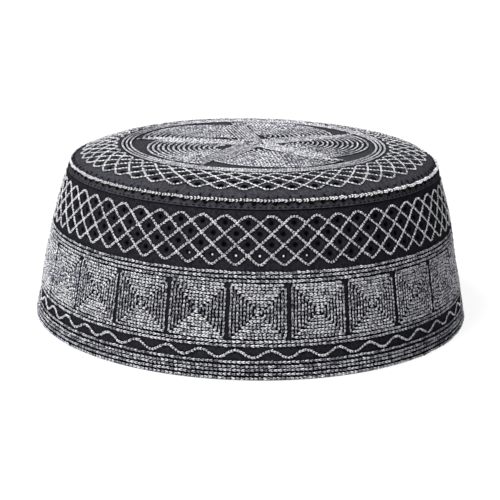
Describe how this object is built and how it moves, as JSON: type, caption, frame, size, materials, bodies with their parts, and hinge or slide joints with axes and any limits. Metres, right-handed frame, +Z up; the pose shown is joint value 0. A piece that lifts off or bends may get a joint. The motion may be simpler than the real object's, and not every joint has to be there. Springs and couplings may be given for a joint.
{
  "type": "kufi",
  "caption": "Round stiff black cotton kufi with a flat crown, tapered side band, pierced lattice and raised silver chain stitch squares, rows and rosette.",
  "frame": {"origin": "middle of the rim, on the surface that the cap rests on", "axes": "+Z up through the crown, -Y the front of the cap as pictured, +X to the viewer's right"},
  "size_m": [0.1904, 0.1904, 0.0743],
  "materials": {
    "black_cotton": "closely woven black cotton, stiffened, matt",
    "silver_thread": "silver grey metallic embroidery thread in chain stitch"
  },
  "bodies": {
    "root": {"side_band": "black_cotton", "crown": "black_cotton", "hem_rows": "silver_thread", "lower_rows": "silver_thread", "upper_rows": "silver_thread", "seam_chain": "silver_thread", "crown_rows": "silver_thread", "square_01": "silver_thread", "square_02": "silver_thread", "square_03": "silver_thread", "square_04": "silver_thread", "square_05": "silver_thread", "square_06": "silver_thread", "square_07": "silver_thread", "square_08": "silver_thread", "square_09": "silver_thread", "square_10": "silver_thread", "square_11": "silver_thread", "square_12": "silver_thread", "square_13": "silver_thread", "square_14": "silver_thread", "square_15": "silver_thread", "square_16": "silver_thread", "square_17": "silver_thread", "square_18": "silver_thread", "square_19": "silver_thread", "square_20": "silver_thread", "square_21": "silver_thread", "square_22": "silver_thread", "square_23": "silver_thread", "square_24": "silver_thread", "petal_1": "silver_thread", "petal_2": "silver_thread", "petal_3": "silver_thread", "petal_4": "silver_thread", "petal_5": "silver_thread", "rosette_heart": "silver_thread"}
  },
  "joints": []
}
